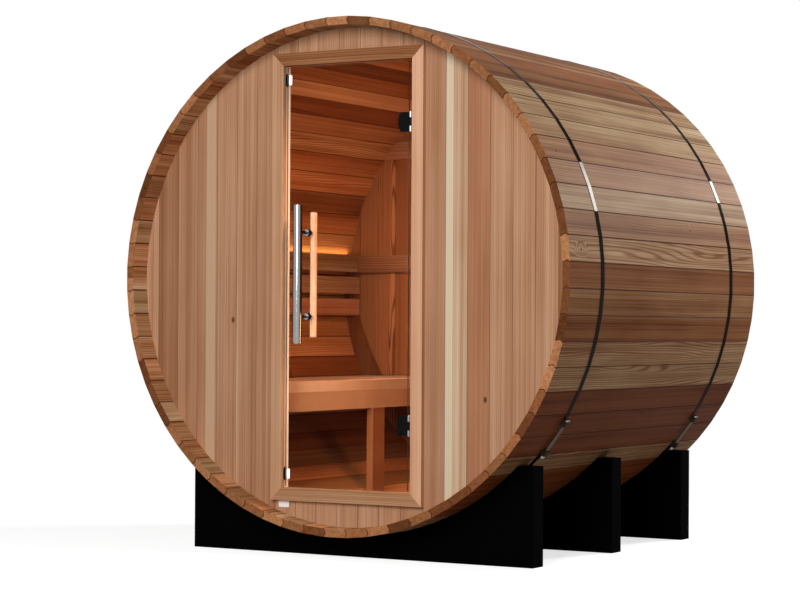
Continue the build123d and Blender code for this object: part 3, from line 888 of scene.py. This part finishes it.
def board_wall(name, replaced, material=cedar_walls):
    """Upright boards with V joints in the place of a plain wall slab."""
    low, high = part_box(replaced)
    over_door = low.z > AXIS_Z + DOORWAY_REACH
    under_door = high.z < AXIS_Z - DOORWAY_REACH

    def rise(x):
        return sqrt(max(WALL_RADIUS**2 - x**2, 0.0))

    def bottom(x):
        return low.z if over_door else AXIS_Z - rise(x)

    def top(x):
        return high.z if under_door else AXIS_Z + rise(x)

    left_end = max(low.x, -WALL_RADIUS)
    right_end = min(high.x, WALL_RADIUS)
    first = int((left_end / BOARD_PITCH + 0.5) // 1)
    last = int((right_end / BOARD_PITCH + 0.5) // 1)
    mesh = bmesh.new()
    for number in range(first, last + 1):
        joint_left = (number - 0.5) * BOARD_PITCH
        joint_right = (number + 0.5) * BOARD_PITCH
        left = max(left_end, joint_left + JOINT_GAP / 2)
        right = min(right_end, joint_right - JOINT_GAP / 2)
        if right - left < NARROWEST_BOARD:
            continue
        bevels = (joint_left > left_end, joint_right < right_end)
        add_board(mesh, left, right, low.y, high.y, bottom, top, bevels)
    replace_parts(new_piece(name, mesh, material, "barrel"), replaced)


board_wall("front_boards_left", "front_wall_left")
board_wall("front_boards_right", "front_wall_right")
board_wall("front_boards_over_door", "front_wall_over_door")
board_wall("front_boards_under_door", "front_wall_under_door")
board_wall("rear_boards", "rear_wall", cedar_rear)


# Turned shapes, as profiles of radius and distance along the axis
def add_turned(mesh, start, axis, profile, sides=20):
    """A turned shape that starts at a place and goes along an axis."""
    direction = Vector(axis).normalized()
    across = direction.orthogonal().normalized()
    other = direction.cross(across)
    rings = []
    for radius, distance in profile:
        middle = Vector(start) + direction * distance
        ring = []
        for side in range(sides):
            turn = 2 * pi * side / sides
            ring.append(mesh.verts.new(middle + across * (radius * cos(turn)) + other * (radius * sin(turn))))
        rings.append(ring)
    skin(mesh, rings)


def disc(radius, height, edge=0.0004):
    """The profile of a flat disc with eased edges."""
    return [(radius - edge, 0.0), (radius, edge), (radius, height - edge), (radius - edge, height)]


DOME_STEPS = 6


def dome(radius, height):
    """The profile of a button head, with a small flat on top."""
    profile = [(radius, 0.0)]
    for step in range(1, DOME_STEPS):
        turn = pi / 2 * step / DOME_STEPS
        profile.append((radius * cos(turn), height * sin(turn)))
    return profile


# Tensioners: a hexagon head and washer on the upper lug of each rod, a nut and the thread's end on the lower
ROD_HALF_SPACING = 0.007
ROD_STAND = 0.0095
LUG_END = 0.075
WASHER_HEIGHT = 0.0014
NUT_HEIGHT = 0.0058
HEXAGON = 6
WASHER = disc(0.0066, WASHER_HEIGHT)
BOLT_HEAD = disc(0.0062, 0.005, 0.0008)
NUT = disc(0.0062, NUT_HEIGHT, 0.0008)
THREAD_END = [(0.0035, 0.0), (0.0035, 0.005), (0.0028, 0.0062)]


def tensioner_bolts(place, angle):
    """The fastenings on one hoop's tensioner, which lies at an angle from the right side."""
    low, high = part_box("tensioner_" + place)
    middle_y = (low.y + high.y) / 2
    outward = Vector((cos(radians(angle)), 0.0, sin(radians(angle))))
    along = Vector((-sin(radians(angle)), 0.0, cos(radians(angle))))
    mesh = bmesh.new()
    for side in (-ROD_HALF_SPACING, ROD_HALF_SPACING):
        line = Vector((0.0, middle_y + side, AXIS_Z)) + outward * (OUTER_FLAT + ROD_STAND)
        upper = line + along * LUG_END
        lower = line - along * LUG_END
        add_turned(mesh, upper, along, WASHER)
        add_turned(mesh, upper + along * WASHER_HEIGHT, along, BOLT_HEAD, HEXAGON)
        add_turned(mesh, lower, -along, WASHER)
        add_turned(mesh, lower - along * WASHER_HEIGHT, -along, NUT, HEXAGON)
        add_turned(mesh, lower - along * (WASHER_HEIGHT + NUT_HEIGHT), -along, THREAD_END)
    new_piece("tensioner_bolts_" + place, mesh, polished_steel, "barrel")


tensioner_bolts("front", -37.0)
tensioner_bolts("rear", -38.5)

# Hinges: caps on the pins, and screws in the leaves and the clamps
KNUCKLE_RADIUS = 0.006
LEAF_THICKNESS = 0.002
SCREW_RISE = 0.022
LEAF_SCREW_INSET = 0.007
CLAMP_SCREW_INSET = 0.018
PIN_CAP = dome(0.0046, 0.0046)
LEAF_SCREW = dome(0.0035, 0.0008)
CLAMP_SCREW = dome(0.0038, 0.0012)

caps = bmesh.new()
leaf_screws = bmesh.new()
clamp_screws = bmesh.new()
pin_x = frame["joints"][0]["pos_m"][0]
for place in ("upper", "lower"):
    leaf_low, leaf_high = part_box("jamb_hinge_leaf_" + place)
    clamp_low, clamp_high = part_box("door_hinge_clamp_" + place)
    pin_y = leaf_low.y + KNUCKLE_RADIUS
    add_turned(caps, (pin_x, pin_y, leaf_high.z), (0, 0, 1), PIN_CAP)
    add_turned(caps, (pin_x, pin_y, leaf_low.z), (0, 0, -1), PIN_CAP)
    leaf_face = leaf_high.x - LEAF_THICKNESS
    screw_y = leaf_high.y - LEAF_SCREW_INSET
    screw_x = clamp_low.x + CLAMP_SCREW_INSET
    middle_z = (leaf_low.z + leaf_high.z) / 2
    for screw_z in (middle_z - SCREW_RISE, middle_z + SCREW_RISE):
        add_turned(leaf_screws, (leaf_face, screw_y, screw_z), (-1, 0, 0), LEAF_SCREW)
        add_turned(clamp_screws, (screw_x, clamp_low.y, screw_z), (0, -1, 0), CLAMP_SCREW)
        add_turned(clamp_screws, (screw_x, clamp_high.y, screw_z), (0, 1, 0), CLAMP_SCREW)
new_piece("hinge_pin_caps", caps, polished_steel, "barrel")
new_piece("hinge_leaf_screws", leaf_screws, polished_steel, "barrel")
new_piece("hinge_clamp_screws", clamp_screws, black_hardware, "door")

# Handle: a black gasket on each face of the glass, and a wooden ferrule between each post and the grip
POST_HEIGHTS = (0.855, 1.155)
FERRULE_STAND = 0.006
GASKET = disc(0.0132, 0.0014)
FERRULE = disc(0.0085, 0.009, 0.001)

glass_low, glass_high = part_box("door_glass")
bar_low, bar_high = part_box("door_pull_bar")
grip_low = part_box("door_inner_grip")[0]
handle_x = (bar_low.x + bar_high.x) / 2
gaskets = bmesh.new()
ferrules = bmesh.new()
for post_z in POST_HEIGHTS:
    add_turned(gaskets, (handle_x, glass_low.y, post_z), (0, -1, 0), GASKET)
    add_turned(gaskets, (handle_x, glass_high.y, post_z), (0, 1, 0), GASKET)
    add_turned(ferrules, (handle_x, grip_low.y - FERRULE_STAND, post_z), (0, 1, 0), FERRULE)
new_piece("handle_gaskets", gaskets, black_hardware, "door")
new_piece("handle_ferrules", ferrules, pale_wood, "door")

# A bare plate below the casing, with rounded corners and an eased face
PLATE_X, PLATE_Z = -0.2675, 0.1825
PLATE_HALF_WIDTH, PLATE_HALF_HEIGHT = 0.022, 0.0125
PLATE_CORNER = 0.003
PLATE_CORNER_STEPS = 4
PLATE_LAYERS = ((0.0, 0.0), (0.0, 0.0006), (0.0004, 0.001))

outline = []
for corner_number, (side_x, side_z) in enumerate(((1, 1), (-1, 1), (-1, -1), (1, -1))):
    for step in range(PLATE_CORNER_STEPS + 1):
        turn = pi / 2 * (corner_number + step / PLATE_CORNER_STEPS)
        plate_x = side_x * (PLATE_HALF_WIDTH - PLATE_CORNER) + PLATE_CORNER * cos(turn)
        plate_z = side_z * (PLATE_HALF_HEIGHT - PLATE_CORNER) + PLATE_CORNER * sin(turn)
        outline.append((plate_x, plate_z))
plate = bmesh.new()
wall_face_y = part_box("front_wall_left")[0].y
layers = []
for shrink, stand in PLATE_LAYERS:
    scale_x = 1 - shrink / PLATE_HALF_WIDTH
    scale_z = 1 - shrink / PLATE_HALF_HEIGHT
    layer = []
    for x, z in outline:
        layer.append(plate.verts.new((PLATE_X + x * scale_x, wall_face_y - stand, PLATE_Z + z * scale_z)))
    layers.append(layer)
skin(plate, layers)
new_piece("bare_plate", plate, white_plastic, "barrel")


# Floor and world: plain soft light for the object, and near white for what the camera sees
def seen_directly(t):
    """1 for what the camera sees, also in metal or through glass."""
    path = t.node("ShaderNodeLightPath")
    either = t.math("MAXIMUM", path.outputs["Is Camera Ray"], path.outputs["Is Glossy Ray"])
    return t.math("MAXIMUM", either, path.outputs["Is Transmission Ray"])


WHITE_FROM = 1.6
WHITE_TO = 3.2
FLOOR_RADIUS = 30.0
FLOOR_DROP = 0.0005


def pale_floor():
    """A pale floor: it keeps the shadow near the object and turns white further away."""
    t = new_material("pale_floor")
    x, y = t.place()[:2]
    fleck = t.speckle((3.0, 3.0, 0.0))
    plain = t.shader("ShaderNodeBsdfDiffuse", Color=t.mix(fleck, (0.2, 0.2, 0.2, 1), (0.24, 0.24, 0.24, 1)))
    near = t.node("ShaderNodeAddShader")
    t.put(near.inputs[0], t.shader("ShaderNodeBsdfDiffuse", Color=(0.65, 0.65, 0.65, 1)))
    t.put(near.inputs[1], t.shader("ShaderNodeEmission", Strength=0.72))
    white = t.shader("ShaderNodeEmission", Strength=1.0)
    seen = t.mix_shaders(t.smooth(t.length(x, y), WHITE_FROM, WHITE_TO), near.outputs[0], white)
    return t.finish(t.mix_shaders(seen_directly(t), plain, seen))


floor_mesh = bmesh.new()
bmesh.ops.create_circle(floor_mesh, cap_ends=True, segments=64, radius=FLOOR_RADIUS)
floor_data = bpy.data.meshes.new("floor")
floor_mesh.to_mesh(floor_data)
floor_mesh.free()
floor_data.materials.append(pale_floor())
floor = bpy.data.objects.new("floor", floor_data)
floor.location.z = -FLOOR_DROP
bpy.context.scene.collection.objects.link(floor)


def studio_world():
    """Soft light from all round, and white behind the object."""
    t = Tree(bpy.data.worlds.new("studio"))
    soft = t.shader("ShaderNodeBackground", Color=NO_TINT, Strength=0.13)
    white = t.shader("ShaderNodeBackground", Color=NO_TINT, Strength=1.0)
    return t.finish(t.mix_shaders(seen_directly(t), soft, white), "ShaderNodeOutputWorld")


bpy.context.scene.world = studio_world()


def softbox(name, place, target, size, power, colour=(1.0, 1.0, 1.0)):
    """A square studio light aimed at a point."""
    data = bpy.data.lights.new(name, "AREA")
    data.shape = "RECTANGLE"
    data.size, data.size_y = size
    data.energy = power
    data.color = colour
    light = bpy.data.objects.new(name, data)
    light.visible_camera = False
    bpy.context.scene.collection.objects.link(light)
    light.location = place
    aim = Vector(target) - Vector(place)
    light.rotation_euler = aim.to_track_quat("-Z", "Y").to_euler()


# A large light beyond the front, two behind that show as the bright marks on the hoops, and three in the room
softbox("key_light", (1.8, -8.2, 3.4), (0.0, -0.8, 1.0), size=(2.4, 4.6), power=590)
softbox("rim_light_front", (2.5, 4.4, 3.05), (0.85, -0.57, 1.3), size=(0.6, 0.75), power=125)
softbox("rim_light_rear", (1.82, 4.4, 2.62), (0.85, 0.57, 1.3), size=(0.4, 0.4), power=65)
softbox("room_light", (0.35, -0.45, 1.5), (-0.35, 0.1, 0.15), size=(0.3, 0.3), power=7.3, colour=ROOM_GLOW)
softbox(
    "low_room_light", (0.5, -0.35, 0.75), (-0.5, 0.35, 0.2), size=(0.25, 0.25), power=3.0, colour=LOW_GLOW
)
strip_low, strip_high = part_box("light_strip")
STRIP_LIGHT_STAND = 0.004
STRIP_LIGHT_WIDTH = 0.012
softbox(
    "strip_light",
    ((strip_low.x + strip_high.x) / 2, 0.0, strip_high.z + STRIP_LIGHT_STAND),
    ((strip_low.x + strip_high.x) / 2, 0.0, 2.0),
    size=(STRIP_LIGHT_WIDTH, strip_high.y - strip_low.y),
    power=0.5,
    colour=STRIP_GLOW,
)

# Camera at the photo's place, found by fitting the barrel's circles, hoops, doorway and cradles
CAMERA_PLACE = (4.24, -7.577, 0.815)
CAMERA_YAW = radians(30.47)
CAMERA_PITCH = radians(0.7234)
CAMERA_ROLL = radians(0.3222)
FOCAL_PIXELS = 2275.0
IMAGE_WIDTH = 800.0
SENSOR_WIDTH = 36.0

ahead = Vector((-sin(CAMERA_YAW) * cos(CAMERA_PITCH), cos(CAMERA_YAW) * cos(CAMERA_PITCH), sin(CAMERA_PITCH)))
right = Vector((cos(CAMERA_YAW), sin(CAMERA_YAW), 0.0))
up = right.cross(ahead)
rolled_right = right * cos(CAMERA_ROLL) + up * sin(CAMERA_ROLL)
rolled_up = up * cos(CAMERA_ROLL) - right * sin(CAMERA_ROLL)
camera_data = bpy.data.cameras.new("camera")
camera_data.sensor_fit = "HORIZONTAL"
camera_data.sensor_width = SENSOR_WIDTH
camera_data.lens = FOCAL_PIXELS / IMAGE_WIDTH * SENSOR_WIDTH
camera_data.clip_end = 100.0
camera = bpy.data.objects.new("camera", camera_data)
bpy.context.scene.collection.objects.link(camera)
turned = Matrix((rolled_right, rolled_up, -ahead)).transposed().to_4x4()
camera.matrix_world = Matrix.Translation(CAMERA_PLACE) @ turned
bpy.context.scene.camera = camera
bpy.context.scene.view_settings.view_transform = "Standard"
